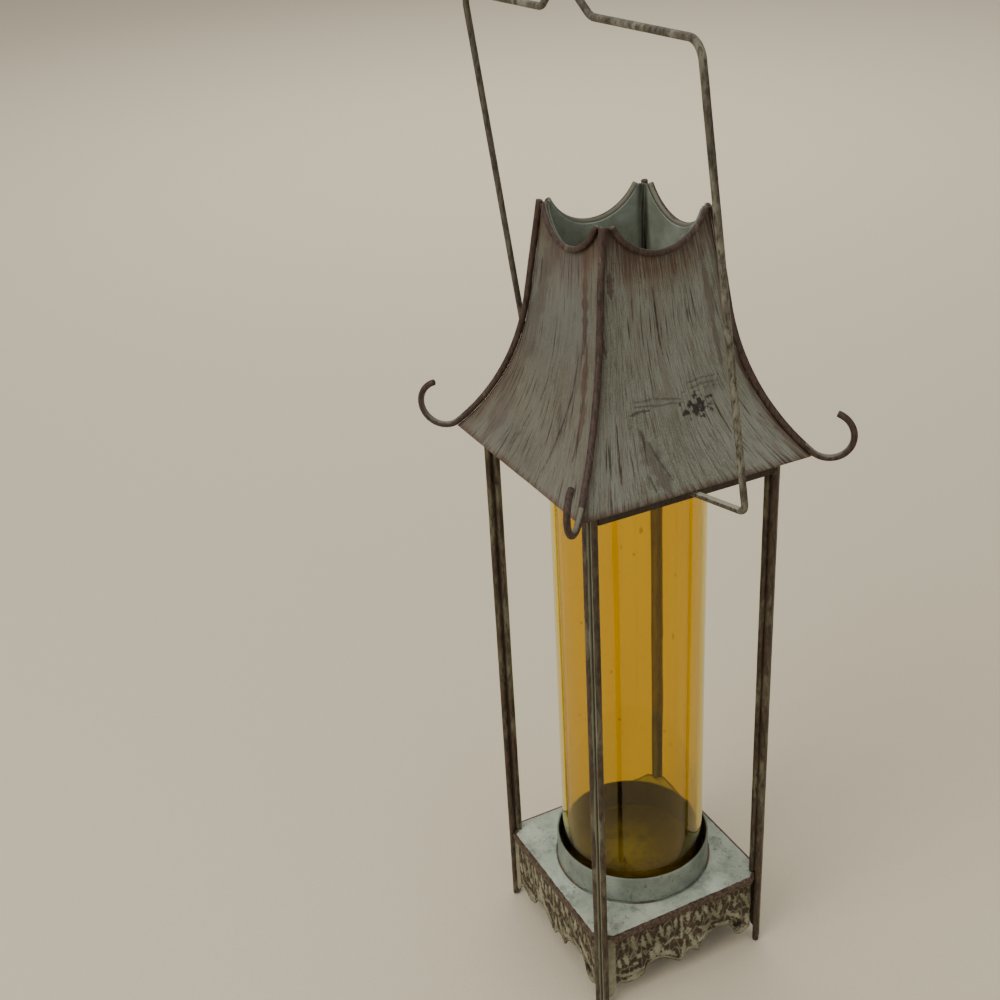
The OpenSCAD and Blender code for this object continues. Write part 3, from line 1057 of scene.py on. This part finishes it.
def turned(name, profile, sway, seed, material, body, node):
    """A closed profile carried round the axis, a little out of true."""
    angles = np.linspace(0, 2 * math.pi, TURNS, endpoint=False)[:, None]
    z = profile[:, 1] + 0 * angles
    lean = 0.6 * np.sin(2 * angles + seed) + 0.4 * np.sin(3 * angles + 2 * seed + z * 0.012)
    r = profile[:, 0] + sway * (lean - 1)
    points = np.stack([r * np.cos(angles), r * np.sin(angles), z], -1).reshape(-1, 3)
    size = len(profile)
    faces = []
    for i in range(TURNS):
        a, b = i * size, (i + 1) % TURNS * size
        for k in range(size):
            n = (k + 1) % size
            faces.append((a + k, b + k, b + n, a + n))
    return make(name, points, faces, material, body, node)


COLLAR_H = 16
COLLAR_T = 1.2
GLASS_D = 76.2
GLASS_T = 2.2
GLASS_H = 254

collar_wall = wall(
    COLLAR_D / 2, COLLAR_D / 2 - COLLAR_T, PLATE_TOP, PLATE_TOP + COLLAR_H, 0.4, 12
)
collar = turned(
    "collar_ring", collar_wall, 0.12, 1.0, COLLAR, "frame", "glass_collar"
)
collar_up = collar_wall[:, 1] - PLATE_TOP
collar_foot = 1 - smoothstep(collar_up, 0, 1.2)
collar_lip = smoothstep(collar_up, COLLAR_H - 1, COLLAR_H)
paint(collar, "wear", np.tile(0.75 * collar_foot + 0.3 * collar_lip, TURNS))

glass_wall = wall(GLASS_D / 2, GLASS_D / 2 - GLASS_T, PLATE_TOP, PLATE_TOP + GLASS_H, 1.0, 40)
turned("glass_tube", glass_wall, 0.12, 4.0, GLASS, "chimney", "glass_chimney")


# ---------------------------------------------------------------- base plate

PLATE_HALF = 52
PLATE_T = 1.2
RIM_H = 4.2
CLIP_HALF = (PAIR_R - POST_D / 2 - GAP) * SQRT2 - PLATE_HALF


def base_plate():
    """A square sheet with clipped corners and its edges folded down into a rim."""
    outline = []
    rim_h = []
    for q in range(4):
        edge = [(PLATE_HALF, y) for y in np.linspace(-CLIP_HALF, CLIP_HALF, 101)]
        clip = np.linspace((PLATE_HALF, CLIP_HALF), (CLIP_HALF, PLATE_HALF), 12)[1:-1]
        flat = np.array([(x, y, 0) for x, y in edge + list(map(tuple, clip))])
        outline.append(quarter(flat, q))
        rim_h += [PLATE_T] + [RIM_H] * 99 + [PLATE_T] + [PLATE_T] * len(clip)
    outline = np.concatenate(outline)
    rim_h = np.array(rim_h)
    size = len(outline)
    under = PLATE_TOP - PLATE_T
    lip = PLATE_TOP - rim_h
    rows = [(inset, PLATE_TOP + 0 * lip) for inset in np.linspace(PLATE_HALF - 1, 0.9, 40)]
    rows += [(0.26, PLATE_TOP - 0.26 + 0 * lip), (0.0, PLATE_TOP - 0.9 + 0 * lip)]
    rows += [(0.0, (PLATE_TOP - 0.9 + lip) / 2), (0.1, lip + 0.15), (0.3, lip)]
    rows += [(PLATE_T - 0.3, lip), (PLATE_T - 0.05, np.minimum(lip + 0.2, under))]
    rows += [(inset, under + 0 * lip) for inset in np.linspace(PLATE_T, PLATE_HALF - 1, 14)]
    points = []
    wear = []
    for inset, height in rows:
        ring = outline * (1 - inset / PLATE_HALF)
        reach = np.hypot(ring[:, 0], ring[:, 1])
        top = height > PLATE_TOP - 0.01
        dent = 0.22 * rough_field(ring[:, 0] * 0.05, ring[:, 1] * 0.05, 8.0) - 0.1
        dent *= smoothstep(reach, COLLAR_D / 2 + 1, COLLAR_D / 2 + 7) * min(1, inset / 3)
        points.append(np.stack([ring[:, 0], ring[:, 1], height + dent], -1))
        worn = np.where(top, 1 - smoothstep(inset + 0 * reach, 0.7, 2.0), 1.0)
        wear.append(worn)
    faces = []
    for i in range(len(rows) - 1):
        for k in range(size):
            a, n = i * size + k, i * size + (k + 1) % size
            faces.append((a, a + size, n + size, n))
    faces.append(tuple(range(size)))
    faces.append(tuple(reversed(range((len(rows) - 1) * size, len(rows) * size))))
    points = np.concatenate(points)
    piece = make("plate_sheet", points, faces, VERDIGRIS, "frame", "base_plate")
    paint(piece, "wear", np.concatenate(wear))


base_plate()


# ---------------------------------------------------------------- aprons

# An apron's ends, and its front, back and top faces
APRON_LEFT = -46.1
APRON_RIGHT = 44.1
APRON_FACE = PLATE_HALF - PLATE_T - 0.05
APRON_BACK = APRON_FACE - 2.3
APRON_SHEET = 0.75
APRON_TOP = PLATE_TOP - PLATE_T - GAP

# Lower edge of an apron from left to right: foot, lobe, arch, pendant, arch, lobe.
APRON_EDGE = (
    (-46.1, 5), (-43.5, 5), (-41.5, 9.5), (-38, 11.5), (-35, 9.6), (-30, 9), (-24, 10.5),
    (-21.5, 15.5), (-17, 17), (-12, 16), (-7, 12.5), (-3, 9), (-1, 8.3), (0.5, 9.5),
    (3, 13.8), (6, 13.4), (9.5, 10.2), (11, 10.2), (13, 14.5), (18, 18.6), (24, 20),
    (30, 19), (33, 15), (34.5, 10), (37.5, 8.4), (42, 9.5), (44.1, 10.5),
)

# Raised leaves and stems stamped into it, lengthwise and up: points, half width.
APRON_RELIEF = (
    ([(-37.5, 40), (-36, 34)], 1.0),
    ([(-31.5, 42), (-30.5, 35), (-28.2, 30)], 1.3),
    ([(-25.2, 38.5), (-24.5, 33), (-22.8, 29)], 1.2),
    ([(-22.5, 41), (-20.8, 34), (-19.3, 29)], 1.0),
    ([(-14.2, 40), (-12.3, 31.5)], 1.2),
    ([(-16, 33), (-15.6, 26), (-15.2, 19.5)], 1.8),
    ([(-8.8, 38), (-8.6, 29.5)], 1.3),
    ([(-4.4, 41), (-4.5, 33.5)], 1.0),
    ([(-1.1, 41), (-0.4, 31), (-0.8, 24)], 1.0),
    ([(3, 42), (3.6, 35)], 1.3),
    ([(8.3, 39.5), (10, 34.5), (11.4, 31)], 1.3),
    ([(13.6, 41), (16, 34)], 1.2),
    ([(18.3, 37), (20.5, 31.5), (24.4, 26.5)], 1.1),
    ([(24.2, 40), (23.8, 34), (22.2, 29.5)], 1.3),
    ([(28, 31), (30.5, 26.3), (35, 23.6), (38, 19.8)], 1.2),
    ([(33.8, 37.5), (33.4, 30)], 1.1),
    ([(36.8, 38.5), (40.5, 33), (43.2, 25)], 1.2),
    ([(29.5, 41), (30.2, 35.5)], 1.0),
    ([(1.6, 22.5), (0.8, 16), (-0.2, 10)], 1.1),
    ([(4.2, 24.6), (7.8, 17), (10.4, 11.5)], 1.2),
    ([(1.6, 28), (3.1, 29.6), (4.6, 28), (3.1, 26.3), (1.6, 28)], 0.8),
    ([(-12.8, 24.6), (-12, 19.8), (-7.5, 17.6), (-3.5, 13.5)], 1.3),
    ([(-11.6, 24.4), (-6, 27.6), (-1.8, 25.4)], 0.9),
    ([(9.8, 21), (11.4, 16.8), (15.6, 20.4), (19.2, 20.8)], 1.1),
    ([(10.5, 27), (15, 24.2), (17.5, 27)], 1.5),
    ([(20.4, 23.6), (25.5, 21.9), (30.5, 21.8)], 1.1),
    ([(-20.4, 25), (-18.6, 20.8), (-17.4, 19.4)], 1.7),
    ([(-40, 29), (-38.4, 22)], 1.1),
    ([(-36.2, 31), (-34.8, 26), (-34, 22.6)], 1.4),
    ([(-28.6, 26.4), (-25.8, 24.2)], 1.6),
    ([(-31, 21.6), (-27.6, 20)], 1.1),
    ([(-38, 16), (-30, 14.6), (-23.5, 15.6)], 1.4),
    ([(-34.5, 11.6), (-29, 11.2), (-24.6, 12.4)], 1.6),
    ([(36, 10.8), (39.4, 10.6), (42.6, 12.2)], 1.6),
    ([(41.3, 22), (42.4, 14)], 1.3),
)
# The hollow under the scroll near its right end, pressed in and painted near black as shade
SHADED_HOLLOW = ([(33.5, 17), (38.5, 15.4)], 2.6)


def apron(q):
    """A pressed sheet of leaves and stems that hangs between two posts."""
    columns, rows = 230, 96
    y = np.linspace(APRON_LEFT, APRON_RIGHT, columns + 1)
    low = np.interp(y, *np.transpose(APRON_EDGE))
    soft = np.exp(-((np.arange(-4, 5) / 2.0) ** 2))
    low[4:-4] = np.convolve(low, soft / soft.sum(), "valid")
    drop = np.linspace(0, 1, rows + 1)
    z = APRON_TOP - drop * (APRON_TOP - low[:, None])
    y = y[:, None] + 0 * z
    relief = np.zeros_like(z)
    for line, half in APRON_RELIEF:
        relief = np.maximum(relief, stroke(y, z, line, half * 1.7))
    # Smaller veins fill the ground between the leaves.
    veins = 1 - 3.2 * np.abs(rough_field(y * 0.30 + z * 0.03, z * 0.15, 21.0))
    relief = np.maximum(relief, 0.7 * np.clip(veins, 0, 1) ** 1.5)
    # A raised bead follows the lower edge, and the left end is a plain strip.
    rise = z - low[:, None]
    relief = np.maximum(relief, 0.8 * np.exp(-(((rise - 1.3) / 0.9) ** 2)))
    relief = np.maximum(relief, 0.75 * (1 - smoothstep(y, -41.8, -40.6)))
    # The hollow is pressed in and marked below zero, where the material paints near-black shade.
    shaded_hollow = stroke(y, z, *SHADED_HOLLOW)
    relief = relief * (1 - shaded_hollow) - shaded_hollow
    fine = 0.12 * rough_field(y * 0.9, z * 0.9, q + 3.0)
    press = np.clip(0.52 + 0.42 * relief + fine, 0, 1)
    front = APRON_BACK + APRON_SHEET + press * (APRON_FACE - APRON_BACK - APRON_SHEET)
    rear = front - APRON_SHEET
    points = np.stack([np.stack([x, y, z], -1) for x in (front, rear)])
    points = quarter(points.reshape(-1, 3), q)
    node = "apron_" + SIDES[q]
    faces = sheet_faces(columns, rows)
    piece = make(node + "_relief", points, faces, APRON, "frame", node)
    paint(piece, "relief", (relief, 0 * relief))


for q in range(4):
    apron(q)


# ---------------------------------------------------------------- floor

FLOOR_HALF = 14
FLOOR_DROP = 0.0005
FLOOR_STEPS = 40

floor_mesh = bpy.data.meshes.new("floor")
lines = [(i / FLOOR_STEPS - 0.5) * 2 * FLOOR_HALF for i in range(FLOOR_STEPS + 1)]
grid = [(x, y, -FLOOR_DROP) for x in lines for y in lines]
floor_mesh.from_pydata(
    grid,
    [],
    [
        (a, a + FLOOR_STEPS + 1, a + FLOOR_STEPS + 2, a + 1)
        for i in range(FLOOR_STEPS)
        for a in range(i * (FLOOR_STEPS + 1), i * (FLOOR_STEPS + 1) + FLOOR_STEPS)
    ],
)
floor_mesh.materials.append(floor_material())
floor = bpy.data.objects.new("floor", floor_mesh)
bpy.context.scene.collection.objects.link(floor)

bpy.context.view_layer.update()
